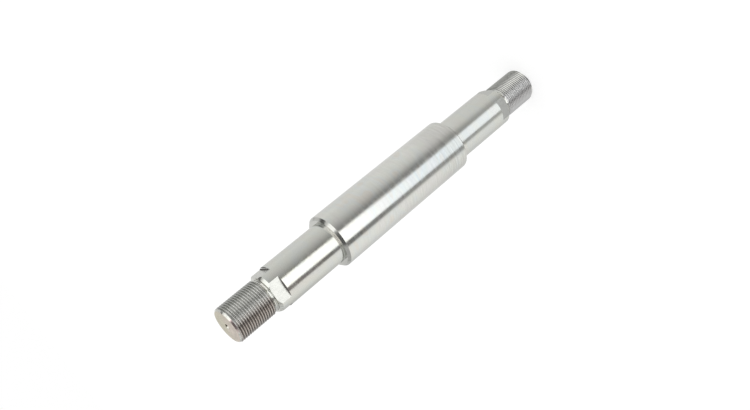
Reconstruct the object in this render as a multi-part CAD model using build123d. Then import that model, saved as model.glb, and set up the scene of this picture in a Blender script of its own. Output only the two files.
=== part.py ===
from build123d import *
import math
import os

# Stepped shaft, turned from one bar. It stands on its lower end, with its axis on +Z
# and its origin at the centre of that end. Millimetres.

# Turned sizes
body_diameter = 45.0        # the thick middle
body_length = 140.0
body_chamfer = 2.0
journal_diameter = 35.0     # a ground bearing seat on each side of the body
journal_length = 64.0
journal_chamfer = 2.0
journal_root_radius = 0.8   # where the journal meets the body's shoulder
thread_diameter = 30.0      # M30 x 2, drawn as its plain major cylinder
thread_length = 32.8
thread_chamfer = 1.5
groove_diameter = 27.0      # run-out groove between thread and journal
groove_width = 3.2
groove_corner_radius = 0.9  # at the journal's end face
groove_slope = 45.0         # of the wall on the thread side, degrees from the axis

# Centre drillings for turning between centres
centre_mouth_diameter = 4.3
centre_pilot_diameter = 2.0
centre_depth = 5.0          # to the end of the pilot's round wall
centre_angle = 60.0
drill_point_angle = 118.0

# Four flats milled into the outer end of each journal, for a spanner
flats_width = 30.0          # across flats
flats_length = 10.5
flats_turn_top = 0.0        # degrees about the axis
flats_turn_bottom = -10.0   # the two squares weren't milled in line

# A fillet takes at most this much of the narrow face it runs out on
fillet_share = 0.9

# Places worked out from the sizes
body_radius = body_diameter / 2
journal_radius = journal_diameter / 2
thread_radius = thread_diameter / 2
groove_floor_radius = groove_diameter / 2
half_body = body_length / 2
journal_end = half_body + journal_length
thread_start = journal_end + groove_width
half_length = thread_start + thread_length


def corner(face, radius, height):
    """The profile's vertex at this radius and height."""
    return face.vertices().sort_by_distance((radius, 0, height))[0]


def centre_drilling_points():
    """Section of a 60 degree centre with its pilot, from the mouth to the drill point."""
    mouth = centre_mouth_diameter / 2
    pilot = centre_pilot_diameter / 2
    cone_depth = (mouth - pilot) / math.tan(math.radians(centre_angle / 2))
    point_depth = pilot / math.tan(math.radians(drill_point_angle / 2))
    return [
        (mouth, half_length),
        (pilot, half_length - cone_depth),
        (pilot, half_length - centre_depth),
        (0, half_length - centre_depth - point_depth),
    ]


def half_profile():
    """Section of the shaft from its middle to one end, to the right of the axis."""
    slope_height = (thread_radius - groove_floor_radius) / math.tan(math.radians(groove_slope))
    points = [
        (0, 0),
        (body_radius, 0),
        (body_radius, half_body - body_chamfer),
        (body_radius - body_chamfer, half_body),
        (journal_radius, half_body),
        (journal_radius, journal_end - journal_chamfer),
        (journal_radius - journal_chamfer, journal_end),
        (groove_floor_radius, journal_end),
        (groove_floor_radius, thread_start - slope_height),
        (thread_radius, thread_start),
        (thread_radius, half_length - thread_chamfer),
        (thread_radius - thread_chamfer, half_length),
    ]
    outline = Polyline(*points, *centre_drilling_points(), close=True)
    section = make_face(Plane.XZ * outline)
    shoulder_face = body_radius - body_chamfer - journal_radius
    end_face = journal_radius - journal_chamfer - groove_floor_radius
    root = min(journal_root_radius, fillet_share * shoulder_face)
    groove_corner = min(groove_corner_radius, fillet_share * end_face)
    section = fillet(corner(section, journal_radius, half_body), root)
    section = fillet(corner(section, groove_floor_radius, journal_end), groove_corner)
    return section


def square_milling(turn):
    """What the cutter takes off the upper journal's outer end to leave four flats."""
    clear_of_journal = 2 * journal_radius
    ring = Cylinder(clear_of_journal, flats_length)
    square = Box(flats_width, flats_width, flats_length)
    middle = journal_end - flats_length / 2
    return Location((0, 0, middle)) * Rotation(0, 0, turn) * (ring - square)


half = revolve(half_profile(), Axis.Z, 360)
upper = half - square_milling(flats_turn_top)
lower = mirror(half - square_milling(flats_turn_bottom), Plane.XY)
shaft = Location((0, 0, half_length)) * (upper + lower)

os.makedirs("parts", exist_ok=True)
export_step(shaft, "parts/shaft.step")
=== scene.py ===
from math import atan2, cos, degrees, pi, radians, tan

import bmesh
import bpy
from mathutils import Matrix, Vector


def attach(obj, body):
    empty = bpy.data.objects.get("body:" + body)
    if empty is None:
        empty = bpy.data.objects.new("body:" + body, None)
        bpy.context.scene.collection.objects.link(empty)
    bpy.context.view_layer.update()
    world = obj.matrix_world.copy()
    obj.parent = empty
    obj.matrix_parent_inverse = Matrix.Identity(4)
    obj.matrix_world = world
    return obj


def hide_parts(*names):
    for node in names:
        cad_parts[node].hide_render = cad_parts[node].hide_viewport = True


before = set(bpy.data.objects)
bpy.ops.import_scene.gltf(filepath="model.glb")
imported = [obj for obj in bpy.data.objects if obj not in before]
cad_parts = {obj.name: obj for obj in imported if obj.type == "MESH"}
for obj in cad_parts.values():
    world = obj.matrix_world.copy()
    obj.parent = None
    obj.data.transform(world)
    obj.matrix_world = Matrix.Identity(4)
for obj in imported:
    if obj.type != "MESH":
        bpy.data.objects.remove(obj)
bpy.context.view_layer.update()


# ---------------------------------------------------------------------------
# The camera. It looks down along the standing shaft from near its upper end,
# and is rolled, so that the shaft lies aslant with its upper end low on the left.
# ---------------------------------------------------------------------------
EYE = Vector((0.152324, -0.568482, 0.499066))
LOOKING = Vector((-0.229456, 0.854103, -0.466753))
RIGHT_HAND = Vector((-0.522835, -0.512646, -0.681056))
SENSOR = 36.0
FOCAL_LENGTH = 40.80

camera_data = bpy.data.cameras.new("camera")
camera_data.sensor_fit = "HORIZONTAL"
camera_data.sensor_width = SENSOR
camera_data.lens = FOCAL_LENGTH
camera_data.clip_start = 0.01
camera_data.clip_end = 50.0
camera = bpy.data.objects.new("camera", camera_data)
bpy.context.scene.collection.objects.link(camera)
upward = RIGHT_HAND.cross(LOOKING)
axes = Matrix((RIGHT_HAND, upward, -LOOKING)).transposed()
camera.matrix_world = Matrix.Translation(EYE) @ axes.to_4x4()
bpy.context.scene.camera = camera
bpy.context.scene.view_settings.view_transform = "Standard"


# ---------------------------------------------------------------------------
# The turned blank. One steel bar, turned between centres: a thick body, a
# ground journal at each side of it, and a groove where the thread will end.
# Half of it is spun from its section; heights go up from the shaft's middle.
# ---------------------------------------------------------------------------
MM = 0.001
COLUMNS = 180               # faces round the axis
FIRST_COLUMN = 1.0          # degrees from +X; puts a column on every corner of the squares
BODY_RADIUS = 22.5
BODY_END = 70.0
BODY_CHAMFER = 2.0
JOURNAL_RADIUS = 17.5
JOURNAL_END = 134.0
JOURNAL_CHAMFER = 2.0
ROOT_RADIUS = 0.3           # between journal and shoulder
GROOVE_RADIUS = 13.5
GROOVE_CORNER = 1.4         # between groove and journal
GROOVE_SLOPE_START = 135.7
BROKEN_EDGE = 0.15          # the body's edge at its chamfer, taken off with a file
SQUARE_START = 123.5        # the cutter's wall; its ring is doubled
HAIR = 0.001


def wire(bm, points):
    """Vertices joined by edges, standing in the half plane of the first column."""
    start = Matrix.Rotation(radians(FIRST_COLUMN), 3, "Z")
    corners = [bm.verts.new(start @ Vector((r * MM, 0, h * MM))) for r, h in points]
    for a, b in zip(corners, corners[1:]):
        bm.edges.new((a, b))
    return corners


def round_corner(bm, corner, radius, segments):
    """Rounds a corner of a section to this radius."""
    a, b = (e.other_vert(corner).co - corner.co for e in corner.link_edges)
    reach = radius * MM * tan((pi - a.angle(b)) / 2)
    bmesh.ops.bevel(bm, geom=[corner], offset=reach, offset_type="OFFSET",
                    segments=segments, profile=0.5, affect="VERTICES", material=-1)


def spin_up(bm):
    """Spins the section once round the axis."""
    bmesh.ops.spin(bm, geom=bm.verts[:] + bm.edges[:], cent=(0, 0, 0), axis=(0, 0, 1),
                   angle=2 * pi, steps=COLUMNS, use_merge=True)


def turned_half():
    bm = bmesh.new()
    corners = wire(bm, [
        (BODY_RADIUS, 0),
        (BODY_RADIUS, BODY_END - BODY_CHAMFER),
        (BODY_RADIUS - BODY_CHAMFER, BODY_END),
        (JOURNAL_RADIUS, BODY_END),
        (JOURNAL_RADIUS, SQUARE_START),
        (JOURNAL_RADIUS, SQUARE_START + HAIR),
        (JOURNAL_RADIUS, JOURNAL_END - JOURNAL_CHAMFER),
        (JOURNAL_RADIUS - JOURNAL_CHAMFER, JOURNAL_END),
        (GROOVE_RADIUS, JOURNAL_END),
        (GROOVE_RADIUS, GROOVE_SLOPE_START),
    ])
    round_corner(bm, corners[1], BROKEN_EDGE, 2)
    round_corner(bm, corners[3], ROOT_RADIUS, 4)
    round_corner(bm, corners[8], GROOVE_CORNER, 5)
    spin_up(bm)
    return bm


# ---------------------------------------------------------------------------
# The milled squares. Four flats cut across the outer end of each journal for
# a spanner, each stopping at a flat wall. A vertex out past a flat is brought
# back to it; on the chamfer it slides down to where the two surfaces meet.
# ---------------------------------------------------------------------------
FLAT_DISTANCE = 15.0
CHAMFER_RIM = JOURNAL_RADIUS - JOURNAL_CHAMFER


def mill_square(bm, turn):
    for v in bm.verts:
        h = v.co.z / MM
        if not SQUARE_START + HAIR / 2 < h < JOURNAL_END + HAIR / 2:
            continue
        r = v.co.xy.length / MM
        if r < FLAT_DISTANCE:
            continue
        off = (degrees(atan2(v.co.y, v.co.x)) - turn + 45) % 90 - 45
        limit = FLAT_DISTANCE / cos(radians(off))
        if r <= limit:
            continue
        if abs(h - (JOURNAL_END - JOURNAL_CHAMFER)) < HAIR:
            h = JOURNAL_END - max(limit - CHAMFER_RIM, 0)
        v.co.xy *= limit / r
        v.co.z = h * MM
    bmesh.ops.remove_doubles(bm, verts=bm.verts[:], dist=1.5 * HAIR * MM)


# ---------------------------------------------------------------------------
# The threads. A right-hand metric thread, 30 mm across with a 2 mm pitch, cut
# on each end. One pitch of its section climbs round the axis; the end chamfer
# and the groove's sloping wall then cut it back, and it is trimmed to length.
# ---------------------------------------------------------------------------
PITCH = 2.0
CREST = 14.93
ROOT = 13.77
CREST_FLAT = 0.30
CREST_ROUNDING = 0.20
ROOT_FLAT = 0.36
ROOT_ROUNDING = 0.25
HALF_LENGTH = 170.0
RIM_RADIUS = 13.5           # where the end chamfer meets the end face
LEAD_IN = 1.15              # length of the end chamfer that the ridges haven't reached
RUN_OUT = 1.0               # and of the groove's slope
FADE = 0.5                  # length over which the ridges then rise to their height
SPARE_TURNS = 4             # spun beyond the thread's length and trimmed off
SPARE_BELOW = 2.5           # this many of those turns are below the groove's slope
ON_THE_CUT = 1e-9           # metres; a vertex this near to a cut counts as on it


def spin_thread(low):
    """Turns of thread, from this height up to past the end face."""
    thread = bmesh.new()
    corners = wire(thread, [
        (ROOT, low),
        (ROOT, low + ROOT_FLAT / 2),
        (CREST, low + (PITCH - CREST_FLAT) / 2),
        (CREST, low + (PITCH + CREST_FLAT) / 2),
        (ROOT, low + PITCH - ROOT_FLAT / 2),
        (ROOT, low + PITCH),
    ])
    for corner in (corners[1], corners[4]):
        round_corner(thread, corner, ROOT_ROUNDING, 2)
    for corner in (corners[2], corners[3]):
        round_corner(thread, corner, CREST_ROUNDING, 2)
    bmesh.ops.spin(thread, geom=thread.verts[:] + thread.edges[:], cent=(0, 0, 0),
                   axis=(0, 0, 1), dvec=(0, 0, PITCH * MM / COLUMNS),
                   angle=2 * pi, steps=COLUMNS, use_merge=False)
    one_turn = thread.verts[:] + thread.edges[:] + thread.faces[:]
    turns = int((HALF_LENGTH - GROOVE_SLOPE_START) / PITCH) + SPARE_TURNS
    for n in range(1, turns):
        copy = bmesh.ops.duplicate(thread, geom=one_turn)["geom"]
        bmesh.ops.translate(thread, vec=(0, 0, n * PITCH * MM),
                            verts=[v for v in copy if isinstance(v, bmesh.types.BMVert)])
    bmesh.ops.remove_doubles(thread, verts=thread.verts[:], dist=10 * HAIR * MM)
    return thread


def cut_back(thread):
    """Cuts the ridges to the end chamfer and the groove's slope, and fills the
    valleys where these are still clean."""
    for v in thread.verts:
        h, r = v.co.z / MM, v.co.xy.length / MM
        to_end, from_groove = HALF_LENGTH - h, h - GROOVE_SLOPE_START
        limit = RIM_RADIUS + min(to_end, from_groove)
        bare = max(LEAD_IN - to_end, RUN_OUT - from_groove)
        filled = min(max(bare / FADE + 0.5, 0), 1)
        if r > limit or filled:
            wanted = min(r + (limit - r) * filled, limit)
            v.co.xy *= wanted / r


def trim(thread, height, outside):
    """Trims the thread at this height and leaves one vertex there to a column."""
    cut = bmesh.ops.bisect_plane(
        thread, geom=thread.verts[:] + thread.edges[:] + thread.faces[:],
        dist=ON_THE_CUT, plane_co=(0, 0, height * MM), plane_no=outside, clear_outer=True)
    rim = [v for v in cut["geom_cut"] if isinstance(v, bmesh.types.BMVert)]
    columns, strays = {}, {}
    for v in rim:
        column = (degrees(atan2(v.co.y, v.co.x)) - FIRST_COLUMN) * COLUMNS / 360
        if abs(column - round(column)) < 0.01:
            columns[round(column) % COLUMNS] = v
    for v in rim:
        column = (degrees(atan2(v.co.y, v.co.x)) - FIRST_COLUMN) * COLUMNS / 360
        owner = columns[round(column) % COLUMNS]
        if owner is not v:
            strays[v] = owner
    bmesh.ops.weld_verts(thread, targetmap=strays)
    for v in columns.values():
        v.co.xy *= RIM_RADIUS * MM / v.co.xy.length


def add_to(bm, part):
    """Adds a finished part to the rest and frees it."""
    mesh = bpy.data.meshes.new("part")
    part.to_mesh(mesh)
    part.free()
    bm.from_mesh(mesh)
    bpy.data.meshes.remove(mesh)


def cut_thread(bm, start):
    """Cuts a thread whose first ridge starts this far up from the groove's slope."""
    thread = spin_thread(GROOVE_SLOPE_START + start - SPARE_BELOW * PITCH)
    cut_back(thread)
    trim(thread, GROOVE_SLOPE_START, (0, 0, -1))
    trim(thread, HALF_LENGTH, (0, 0, 1))
    add_to(bm, thread)


# ---------------------------------------------------------------------------
# The end faces. Faced off flat, with a small 60 degree centre hole and its
# pilot, which the lathe's centres held.
# ---------------------------------------------------------------------------
CENTRE_MOUTH = 2.15
CENTRE_PILOT = 1.0
PILOT_DEPTH = 5.0
CENTRE_EDGE = 0.8           # rounding that lathe centres have worn into the mouth


def drill_centre(bm):
    end = bmesh.new()
    cone = (CENTRE_MOUTH - CENTRE_PILOT) / tan(radians(30))
    point = CENTRE_PILOT / tan(radians(59))
    corners = wire(end, [
        (RIM_RADIUS, HALF_LENGTH),
        (CENTRE_MOUTH, HALF_LENGTH),
        (CENTRE_PILOT, HALF_LENGTH - cone),
        (CENTRE_PILOT, HALF_LENGTH - PILOT_DEPTH),
        (0, HALF_LENGTH - PILOT_DEPTH - point),
    ])
    round_corner(end, corners[1], CENTRE_EDGE, 3)
    spin_up(end)
    add_to(bm, end)


# ---------------------------------------------------------------------------
# The whole shaft: two such halves, turned end for end. The lower square isn't
# in line with the upper one.
# ---------------------------------------------------------------------------
LOWER_SQUARE_TURN = 10.0    # seen from that end
UPPER_THREAD_START = -0.80
LOWER_THREAD_START = 1.13

whole = bmesh.new()
for turn, thread_start, flip in ((0.0, UPPER_THREAD_START, 0.0),
                                 (LOWER_SQUARE_TURN, LOWER_THREAD_START, pi)):
    half = turned_half()
    mill_square(half, turn)
    cut_thread(half, thread_start)
    drill_centre(half)
    half.transform(Matrix.Translation((0, 0, HALF_LENGTH * MM)) @ Matrix.Rotation(flip, 4, "X"))
    add_to(whole, half)
bmesh.ops.remove_doubles(whole, verts=whole.verts[:], dist=2 * HAIR * MM)
bmesh.ops.recalc_face_normals(whole, faces=whole.faces[:])
shaft_mesh = bpy.data.meshes.new("shaft")
whole.to_mesh(shaft_mesh)
whole.free()
shaft_mesh.shade_smooth()
shaft_mesh.set_sharp_from_angle(angle=radians(25))
shaft = bpy.data.objects.new("turned_shaft", shaft_mesh)
bpy.context.scene.collection.objects.link(shaft)
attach(shaft, "root")
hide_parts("shaft")
true_walls = shaft.modifiers.new("true_walls", "WEIGHTED_NORMAL")
true_walls.keep_sharp = True


# ---------------------------------------------------------------------------
# The steel's finishes. Bright unplated steel throughout: the body is left as
# the lathe turned it, the journals are ground, the squares are milled, and
# the threads carry painted shade in their roots and towards their sides.
# Painted light and shade are named where they are made. Each finish takes the faces it names.
# ---------------------------------------------------------------------------
STEEL = (0.595, 0.60, 0.562)


class Signal:
    """A shader socket that can be reckoned with as a number."""

    def __init__(self, socket):
        self.socket = socket
        self.tree = socket.id_data

    def node(self, kind, settings=None, inputs=None, output=0):
        """Adds a node, its settings first, and returns the output asked for."""
        made = self.tree.nodes.new(kind)
        for name, value in (settings or {}).items():
            if name == "stops":
                ramp = made.color_ramp
                for _ in value[2:]:
                    ramp.elements.new(0.5)
                for stop, (place, colour) in zip(ramp.elements, value):
                    stop.position = place
                    stop.color = (*colour, 1) if isinstance(colour, tuple) else (colour,) * 3 + (1,)
            else:
                setattr(made, name, value)
        for name, value in (inputs or {}).items():
            if isinstance(value, Signal):
                self.tree.links.new(value.socket, made.inputs[name])
            else:
                made.inputs[name].default_value = value
        return Signal(made.outputs[output])

    def math(self, operation, *values):
        return self.node("ShaderNodeMath", {"operation": operation}, dict(enumerate(values)))

    def __add__(self, other): return self.math("ADD", self, other)
    __radd__ = __add__
    def __sub__(self, other): return self.math("SUBTRACT", self, other)
    def __rsub__(self, other): return self.math("SUBTRACT", other, self)
    def __mul__(self, other): return self.math("MULTIPLY", self, other)
    __rmul__ = __mul__
    def __truediv__(self, other): return self.math("DIVIDE", self, other)

    def step(self, start, end, low=0.0, high=1.0):
        """Rises smoothly from low to high while this goes from start to end."""
        return self.node("ShaderNodeMapRange", {"interpolation_type": "SMOOTHSTEP"},
                         {"Value": self, "From Min": start, "From Max": end,
                          "To Min": low, "To Max": high})

    def blend(self, first, second):
        """Colour mixed from first to second as this goes from 0 to 1."""
        return self.node("ShaderNodeMix", {"data_type": "RGBA"},
                         {"Factor": self, "A": first, "B": second}, output="Result")


def finish_of(name, colour, roughness):
    """A metal, with its shader and the place on the shaft as a signal."""
    material = bpy.data.materials.new(name)
    material.use_nodes = True
    shader = material.node_tree.nodes["Principled BSDF"]
    shader.inputs["Base Color"].default_value = (*colour, 1)
    shader.inputs["Metallic"].default_value = 1.0
    shader.inputs["Roughness"].default_value = roughness
    place = Signal(material.node_tree.nodes.new("ShaderNodeTexCoord").outputs["Object"])
    return material, shader, place


def feed(shader, name, signal):
    signal.tree.links.new(signal.socket, shader.inputs[name])


def split(place):
    """A point's x, y and height on the shaft."""
    return (place.node("ShaderNodeSeparateXYZ", {}, {0: place}, output=n) for n in "XYZ")


def from_axis(x, y):
    """How far out from the axis a point is."""
    squared = x * x + y * y
    return squared.math("SQRT", squared)


def towards(side, x, y):
    """How far a point lies to this side, given as a direction across the shaft."""
    return x * side[0] + y * side[1]


def dimmed(colour, amount):
    """A colour signal times a number signal."""
    return colour.node("ShaderNodeVectorMath", {"operation": "SCALE"},
                       {0: colour, "Scale": amount})


def grain(place, around, along, detail=2.0, output=0):
    """Noise whose grain is this many millimetres round and along the shaft."""
    stretched = place.node("ShaderNodeVectorMath", {"operation": "MULTIPLY"},
                           {0: place, 1: (1 / around / MM, 1 / around / MM, 1 / along / MM)})
    return place.node("ShaderNodeTexNoise", {}, {"Vector": stretched, "Scale": 1.0,
                      "Detail": detail}, output=output)


def leaning(place, lean, ridge, height):
    """The surface's normal, leaning sideways by lean, over ridges of this height."""
    sideways = place.node("ShaderNodeVectorMath", {"operation": "CROSS_PRODUCT"},
                          {0: (0, 0, 1), 1: place})
    sideways = place.node("ShaderNodeVectorMath", {"operation": "NORMALIZE"}, {0: sideways})
    sideways = place.node("ShaderNodeVectorMath", {"operation": "SCALE"},
                          {0: sideways, "Scale": lean})
    facing = place.node("ShaderNodeNewGeometry", output="Normal")
    facing = place.node("ShaderNodeVectorMath", {"operation": "ADD"}, {0: facing, 1: sideways})
    return place.node("ShaderNodeBump", {}, {"Height": ridge, "Distance": height * MM,
                      "Strength": 1.0, "Normal": facing})


def tinted(place, colour, weak, strong, size):
    """The steel's colour with the faint rainbow that a film of oil leaves."""
    patches = grain(place, size, size * 0.6, 1.0)
    film = patches.node("ShaderNodeValToRGB", {"stops": [
        (0.34, weak), (0.42, (1.0, 0.98, 0.975)), (0.48, (1.0, 0.997, 0.975)),
        (0.54, (0.99, 1.0, 0.99)), (0.60, (0.975, 0.99, 1.01)), (0.68, strong)]},
        {"Fac": patches}, output="Color")
    return place.node("ShaderNodeMix", {"data_type": "RGBA", "blend_type": "MULTIPLY"},
                      {"Factor": 1.0, "A": (*colour, 1), "B": film}, output="Result")


# ---- the ground journals, chamfers and grooves; a lighter, pinkish painted sheen lies on
# the upper end chamfer, and painted shade lies in the first valley at the foot, on the same side
PAINTED_SHEEN = (0.73, 0.60, 0.58, 1)
FOOT_SHADE = (0.20, 0.20, 0.195, 1)
SHEEN_SIDE = (0.05, -1.0)
FOOT_SHADE_SIDE = (0.052, -0.999)
UPPER_END = (0.3375, 0.3380)
FOOT = (0.0021, 0.0019)

ground, shader, place = finish_of("ground_steel", STEEL, 0.16)
fine = grain(place, 14, 0.8)
broad = grain(place, 30, 3.0)
x, y, z = split(place)
out = from_axis(x, y)
# painted sheen: the upper end chamfer is lighter and pinkish on the side towards the camera
sheen = (towards(SHEEN_SIDE, x, y) / out).step(0.88, 0.97) * z.step(*UPPER_END)
# painted shade at the foot, on the side towards the camera, darkening a bright reflection there
foot_shade = (towards(FOOT_SHADE_SIDE, x, y) / out).step(0.965, 0.98) * z.step(*FOOT)
steel = tinted(place, STEEL, (1, 1, 1), (1, 1, 1), 22)
steel = foot_shade.blend(steel, FOOT_SHADE)
feed(shader, "Base Color", sheen.blend(steel, PAINTED_SHEEN))
feed(shader, "Roughness", broad.step(0.3, 0.7, 0.13, 0.19))
feed(shader, "Normal", leaning(place, (fine - 0.5) * 0.05, fine, 0.001))

# ---- the turned body, its marks deeper towards the lower end
BARE = (0.63, 0.636, 0.603)
CHAMFER_COLOUR = (0.55, 0.552, 0.522, 1)

turned, shader, place = finish_of("turned_steel", BARE, 0.20)
x, y, z = split(place)
depth = z.step(0.23, 0.15, 0.35, 1.0)
near_foot = z.step(0.145, 0.115)
fine = grain(place, 18, 0.8, 3.0) - 0.5
broad = grain(place, 26, 3.5) - 0.5
lines = (fine * depth).step(-0.14, 0.14, 0.96, 1.02)
lines = lines * (near_foot * (fine * 0.22 - 0.075) + 1)
film = tinted(place, BARE, (1.0, 0.985, 0.99), (1.0, 0.965, 0.935), 20)
chamfered = from_axis(x, y).step((BODY_RADIUS - 0.1) * MM, (BODY_RADIUS - 0.3) * MM)
feed(shader, "Base Color", chamfered.blend(dimmed(film, lines), CHAMFER_COLOUR))
feed(shader, "Roughness", (fine + broad).step(-0.2, 0.2, 0.11, 0.17) + depth * 0.03)
feed(shader, "Normal", leaning(place, (fine * 0.035 + broad * 0.006) * depth, fine, 0.003))

# ---- the milled squares, duller on the lower end; the cutter's walls are painted dark
# as painted shade, and one wall at each end has a painted highlight, a bright line
FLAT_LOWER = (0.51, 0.515, 0.485, 1)
WALL_SHADE = (0.10, 0.095, 0.09, 1)
GLINT_LINE = (0.95, 0.95, 0.93, 1)
GLINT_FROM = 16.0
GLINT_TO = 16.4

milled, shader, place = finish_of("milled_steel", STEEL, 0.30)
x, _, z = split(place)
away = z - HALF_LENGTH * MM
away = away.math("ABSOLUTE", away)
# painted shade: the cutter's walls are painted nearly black
at_wall = away.step((SQUARE_START + 0.06) * MM, (SQUARE_START + 0.03) * MM)
# painted highlight: a bright line across one wall at each end
glint = (x.step((GLINT_FROM - 0.05) * MM, (GLINT_FROM + 0.05) * MM)
        * x.step((GLINT_TO + 0.05) * MM, (GLINT_TO - 0.05) * MM))
flat = z.step(0.2, 0.1).blend((*STEEL, 1), FLAT_LOWER)
feed(shader, "Base Color", at_wall.blend(flat, glint.blend(WALL_SHADE, GLINT_LINE)))
feed(shader, "Roughness", grain(place, 1.5, 6).step(0.3, 0.7, 0.28, 0.34))

# ---- the threads, with painted light on the crests and painted shade in the roots; the upper
# one is browner and darker on one side; painted shade darkens them towards their outlines, on
# one side, on another side of the lower one and at the foot, and painted darker streaks
# stand in for dark reflections
# each pair: in the roots, darkened as painted shade, and on the crests, lightened as painted light
MAIN_COLOURS = ((0.47, 0.475, 0.45, 1), (0.68, 0.68, 0.655, 1))    # in the roots, on the crests
BROWN = ((0.21, 0.195, 0.18, 1), (0.57, 0.53, 0.49, 1))
SELF_SHADOW = ((0.37, 0.375, 0.35, 1), (0.46, 0.465, 0.44, 1))
SHADED = ((0.42, 0.42, 0.415, 1), (0.64, 0.64, 0.635, 1))
BROWN_SIDE = (-0.71, -0.71)
SELF_SHADOW_SIDE = (0.985, -0.174)
SHADED_SIDE = (-0.42, -0.91)
OUTLINE_SHADE_SIDE = (0.966, 0.259)          # and the side opposite it
UPPER_STREAK = (0.391, -0.92)
LOWER_STREAK = (0.839, -0.545)
ON_UPPER = (0.29, 0.31)
ON_LOWER = (0.05, 0.03)

threaded, shader, place = finish_of("threaded_steel", STEEL, 0.28)
x, y, z = split(place)
out = from_axis(x, y)
crest = out.step(13.95 * MM, 14.6 * MM)
patchy = (grain(place, 6, 2.0) - 0.5) * 0.3
# the upper thread is browner and darker towards one side, in patches
browned = (towards(BROWN_SIDE, x, y) / out + patchy).step(0.38, 0.85) * z.step(*ON_UPPER)
# painted shade: the threads darker towards one side, where their ridges shade each other
self_shadowed = (towards(SELF_SHADOW_SIDE, x, y) / out).step(0.88, 0.99)
shaded = (towards(SHADED_SIDE, x, y) / out).step(0.50, 0.72) * z.step(*ON_LOWER)
steel = self_shadowed.blend(crest.blend(*MAIN_COLOURS), crest.blend(*SELF_SHADOW))
steel = browned.blend(shaded.blend(steel, crest.blend(*SHADED)), crest.blend(*BROWN))
# painted shade towards both outlines of the threads, deeper on the upper one
outline_shade = towards(OUTLINE_SHADE_SIDE, x, y) / out
outline_shade = outline_shade.math("ABSOLUTE", outline_shade).step(0.84, 0.99)
# painted darker streaks along each thread, standing in for dark reflections
upper_streak = (towards(UPPER_STREAK, x, y) / out).step(0.975, 0.997) * z.step(*ON_UPPER)
lower_streak = (towards(LOWER_STREAK, x, y) / out).step(0.982, 0.997) * z.step(*ON_LOWER)
# the same painted shade at the foot, in the thread's first valley
foot_shade = (towards(FOOT_SHADE_SIDE, x, y) / out).step(0.965, 0.98) * z.step(*FOOT)
# the thread's colour dimmed by all this painted shade and by the darker streaks
painted_dimming = ((1 - outline_shade * z.step(0.1, 0.3, 0.12, 0.34)) * (1 - upper_streak * 0.12)
        * (1 - lower_streak * 0.2) * (1 - foot_shade * 0.7))
feed(shader, "Base Color", dimmed(steel, painted_dimming))

# ---- the faced ends, warm with old oil and finely ringed by the tool; the
# centre hole is painted dark as painted shade, but for one side of its mouth, which has a painted
# highlight
WARM_STEEL = (0.54, 0.49, 0.41)
YELLOW = (0.555, 0.525, 0.405, 1)
PINK = (0.59, 0.515, 0.445, 1)
HOLE_SHADE = (0.08, 0.075, 0.06, 1)
PAINTED_HIGHLIGHT = (0.90, 0.88, 0.79, 1)
YELLOW_SIDE = (0.5, 0.87)
HIGHLIGHT_SIDE = (-0.966, -0.259)

faced, shader, place = finish_of("faced_steel", WARM_STEEL, 0.36)
x, y, _ = split(place)
out = from_axis(x, y)
rings = place.node("ShaderNodeCombineXYZ", {}, {"X": out})
rings = place.node("ShaderNodeTexNoise", {}, {"Vector": rings, "Scale": 1100.0,
                                              "Detail": 1.0})
specks = grain(place, 2.2, 2.2, 3.0)
tone = (rings * 0.4 + specks * 0.6).step(0.36, 0.64, 0.89, 1.08)
tone = tone * (out.step(6.6 * MM, 7.6 * MM, 1.02, 0.94)
               + out.step(9.6 * MM, 10.6 * MM, 0.0, 0.03))
yellow = towards(YELLOW_SIDE, x, y) / out + (grain(place, 6, 6) - 0.5) * 2.5
face = yellow.step(-1.3, 1.3).blend(PINK, YELLOW)
# painted shade: the inside of the centre hole is painted nearly black
face = out.step(2.0 * MM, 2.2 * MM).blend(HOLE_SHADE, face)
# painted highlight: a bright crescent on one side of the centre hole's mouth
across = towards(HIGHLIGHT_SIDE, x, y)
highlight = (across.step(-0.3 * MM, 0.1 * MM) * across.step(1.9 * MM, 1.6 * MM)
          * out.step(2.7 * MM, 2.5 * MM))
feed(shader, "Base Color", dimmed(highlight.blend(face, PAINTED_HIGHLIGHT), tone))

# ---- each finish takes its faces
for material in (ground, turned, milled, threaded, faced):
    shaft_mesh.materials.append(material)
GROUND, TURNED, MILLED, THREADED, FACED = range(5)
for face in shaft_mesh.polygons:
    height = abs(face.center.z - HALF_LENGTH * MM) / MM
    reach = face.center.xy.length / MM
    on_flat = face.normal.xy.length > 0.99 and reach < JOURNAL_RADIUS - 0.01
    on_wall = abs(face.normal.z) > 0.9 and height < SQUARE_START + 1
    if height < BODY_END + HAIR:
        face.material_index = TURNED
    elif height < SQUARE_START - HAIR:
        face.material_index = GROUND
    elif height < JOURNAL_END - HAIR:
        face.material_index = MILLED if on_flat or on_wall else GROUND
    elif height > HALF_LENGTH - HAIR or reach < CENTRE_MOUTH + CENTRE_EDGE:
        face.material_index = FACED
    elif not GROOVE_SLOPE_START + RUN_OUT < height < HALF_LENGTH - LEAD_IN:
        face.material_index = GROUND
    else:
        face.material_index = THREADED


# ---------------------------------------------------------------------------
# The floor. White to the eye, with the shaft's own soft shadow on it.
# Reflections pass through it to the studio's cards, which stand all round.
# ---------------------------------------------------------------------------
FLOOR_HALF = 4.0
FLOOR_WHITE = 0.4
FLOOR_GLOW = 0.65

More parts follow.
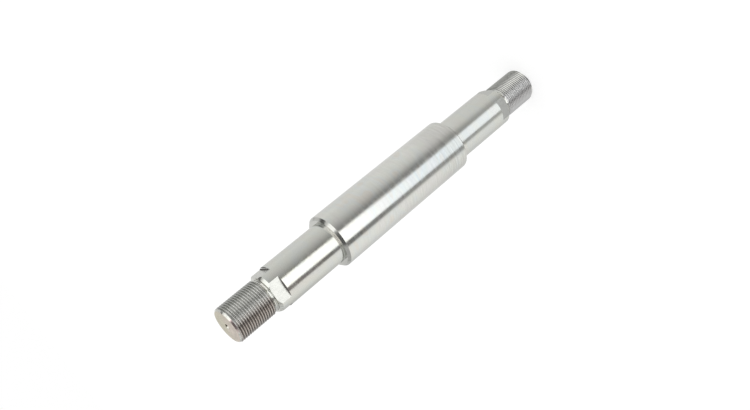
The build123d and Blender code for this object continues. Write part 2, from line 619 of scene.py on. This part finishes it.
floor_bm = bmesh.new()
bmesh.ops.create_grid(floor_bm, x_segments=1, y_segments=1, size=FLOOR_HALF)
floor_mesh = bpy.data.meshes.new("floor")
floor_bm.to_mesh(floor_mesh)
floor_bm.free()
floor = bpy.data.objects.new("floor", floor_mesh)
bpy.context.scene.collection.objects.link(floor)
floor_paint = bpy.data.materials.new("floor_paint")
floor_paint.use_nodes = True
paint_nodes = floor_paint.node_tree.nodes
paint_nodes.remove(paint_nodes["Principled BSDF"])
paint_output = paint_nodes["Material Output"]
rays = Signal(paint_nodes.new("ShaderNodeLightPath").outputs["Is Glossy Ray"])
matt = rays.node("ShaderNodeBsdfDiffuse", {}, {"Color": (FLOOR_WHITE,) * 3 + (1,)})
glow = rays.node("ShaderNodeEmission", {}, {"Color": (1, 1, 1, 1), "Strength": FLOOR_GLOW})
paper = rays.node("ShaderNodeAddShader", {}, {0: matt, 1: glow})
clear = rays.node("ShaderNodeBsdfTransparent")
surface = rays.node("ShaderNodeMixShader", {}, {0: rays, 1: paper, 2: clear})
floor_paint.node_tree.links.new(surface.socket, paint_output.inputs["Surface"])
floor_mesh.materials.append(floor_paint)


# ---------------------------------------------------------------------------
# The studio. Pale all round, with a white panel in front of the shaft between
# two dark cards, and a soft light above. Only the metal sees the cards; to
# the eye and to the floor the studio is plain white. Bearings are in degrees
# from the camera's side, growing clockwise seen from above.
# ---------------------------------------------------------------------------
CAMERA_BEARING = -75.0

world = bpy.data.worlds.new("studio")
world.use_nodes = True
bpy.context.scene.world = world
studio = world.node_tree.nodes
background = studio["Background"]
way = Signal(studio.new("ShaderNodeTexCoord").outputs["Generated"])
way_x, way_y, way_z = (way.node("ShaderNodeSeparateXYZ", {}, {0: way}, output=n) for n in "XYZ")
elevation = way.math("ARCSINE", way_z) * (180 / pi)
bearing = way.math("ARCTAN2", way_y, way_x) * (180 / pi)
round_about = way.math("FRACT", (CAMERA_BEARING - bearing) / 360 + 1.5)


def ring(cards):
    """The light that comes from all round at one height, from (bearing, level) pairs."""
    stops = [((at + 180) / 360, level) for at, level in cards]
    return way.node("ShaderNodeValToRGB", {"stops": stops}, {"Fac": round_about}, output="Color")


PLAIN_WHITE = (0.5, 0.5, 0.5, 1)
CEILING = (0.25, 0.25, 0.25, 1)
STRENGTH = 2.0
PANEL = 0.95
PANEL_LOW = (0.60, 0.645, 0.705)
PANEL_LOWEST = (0.72, 0.735, 0.77)
SHADE = (0.155, 0.137, 0.137)
OLIVE = (0.195, 0.19, 0.168)
CARD = (1.14, 1.08, 1.10)
BLUSH = (0.585, 0.560, 0.556)

# ---- below the horizon, the cards that the round walls mirror
shallow = ring([
    (-180, 0.40), (-160, 0.41), (-130, 0.45), (-100, 0.475), (-84, 0.44), (-68, 0.41),
    (-52, 0.36), (-36, 0.29), (-28, 0.25), (-20, 0.21), (-15, OLIVE), (-12.5, OLIVE),
    (-8, PANEL), (36.5, PANEL), (41.5, SHADE), (58, SHADE), (64, BLUSH), (84, BLUSH),
    (104, 0.53), (120, 0.45), (132, 0.385), (146, 0.325), (160, 0.32), (180, 0.38)])
middle = ring([
    (-180, 0.38), (-150, 0.42), (-130, 0.45), (-100, 0.48), (-84, 0.44), (-68, 0.41),
    (-52, 0.36), (-36, 0.28), (-28, 0.23), (-20, 0.18), (-14, 0.16), (-9, 0.15),
    (-3, 0.92), (39.5, 0.92), (44, 0.10), (59, 0.11), (66, 0.56), (84, 0.58),
    (104, 0.55), (120, 0.50), (140, 0.41), (160, 0.35), (180, 0.37)])
steep = ring([
    (-180, 0.41), (-130, 0.46), (-100, 0.49), (-84, 0.485), (-68, 0.465), (-52, 0.42),
    (-40, 0.36), (-28, 0.25), (-20, 0.16), (-8, 0.13), (-3, 0.14),
    (3, PANEL_LOW), (41, PANEL_LOW), (45, 0.19), (56, 0.19), (61, 0.32), (67, 0.56),
    (84, 0.555), (120, 0.47), (140, 0.40), (180, 0.39)])
lowest = ring([
    (-180, 0.375), (-130, 0.41), (-96, 0.455), (-84, 0.44), (-60, 0.45), (-48, 0.44),
    (-36, 0.395), (-24, 0.30), (-14, 0.27), (-9, 0.28),
    (-1, PANEL_LOWEST), (40, PANEL_LOWEST), (45, 0.28), (56, 0.28), (61, 0.38), (70, 0.56),
    (84, 0.55), (108, 0.50), (120, 0.46), (132, 0.40), (150, 0.37), (180, 0.37)])

# ---- above it, the cards that the chamfers, shoulders and ridges mirror
level = ring([
    (-180, 0.5), (-145, 0.43), (-138, 0.12), (-80, 0.12), (-74, 0.80), (38, 0.80),
    (44, 0.05), (50, 0.05), (62, 0.35), (100, 0.40), (125, 0.28), (145, 0.35), (180, 0.5)])
above = ring([
    (-180, 0.5), (-168, 0.5), (-156, 0.42), (-119, 0.40), (-113, 0.12), (-80, 0.12),
    (-74, 0.38), (-20, 0.38), (-14, 0.05), (50, 0.05),
    (62, 0.40), (100, 0.32), (136, 0.27), (143, 0.48), (148, 0.20), (164, 0.20), (170, 0.5),
    (180, 0.5)])
raised = ring([
    (-180, 0.5), (-168, 0.5), (-139, 0.43), (-119, 0.40), (-113, 0.25), (-82, 0.35),
    (-74, CARD), (38, CARD), (46, 0.50), (100, 0.32), (123, 0.27), (131, 0.50), (143, 0.48),
    (148, 0.20), (180, 0.40)])
slanting = ring([
    (-180, 0.4), (-150, 0.40), (-134, 0.40), (-120, 0.40), (-115, 0.06), (-93, 0.06),
    (-87, 0.42), (-14, 0.42), (-8, 0.05), (3, 0.05), (8, 1.0), (48, 1.0), (52, 0.05),
    (56, 0.05), (62, 0.30), (110, 0.28), (120, 0.50), (135, 0.48), (148, 0.25), (180, 0.4)])
sloping = ring([
    (-180, 0.4), (-134, 0.40), (-113, 0.48), (-108, 0.66), (-101, 0.66), (-96, 0.45),
    (-87, 0.42), (-14, 0.42),
    (-8, 0.05), (3, 0.05), (8, 1.0), (48, 1.0), (52, 0.05), (56, 0.05), (62, 0.30),
    (96, 0.32), (104, 0.52), (135, 0.48), (148, 0.3), (180, 0.4)])
overhead = ring([
    (-180, 0.4), (-112, 0.40), (-103, 0.55), (-96, 0.85), (-35, 0.85), (-27, 0.25),
    (-5, 0.08), (20, 0.04), (65, 0.05), (72, 0.24), (90, 0.33), (107, 0.50), (180, 0.4)])
zenith = ring([
    (-180, 0.3), (-95, 0.3), (-84, 0.45), (-76, 0.87), (-35, 0.87), (-27, 0.25),
    (-5, 0.12), (20, 0.07), (74, 0.09), (92, 0.25), (180, 0.3)])

# ---- one ring gives way to the next as the elevation changes
below = elevation.step(-21, -24.5).blend(shallow, middle)
below = elevation.step(-26, -30).blend(below, steep)
below = elevation.step(-34, -36).blend(below, lowest)
over = elevation.step(10, 14).blend(level, above)
over = elevation.step(21.5, 23.5).blend(over, raised)
over = elevation.step(30, 36).blend(over, slanting)
over = elevation.step(45, 47).blend(over, sloping)
over = elevation.step(50, 53).blend(over, overhead)
over = elevation.step(58, 62).blend(over, zenith)
over = elevation.step(80, 86).blend(over, CEILING)
cards = elevation.step(-1.5, 1.5).blend(below, over)
lit = Signal(studio.new("ShaderNodeLightPath").outputs["Is Glossy Ray"])
scene_light = lit.blend(PLAIN_WHITE, cards)
world.node_tree.links.new(scene_light.socket, background.inputs["Color"])
background.inputs["Strength"].default_value = STRENGTH
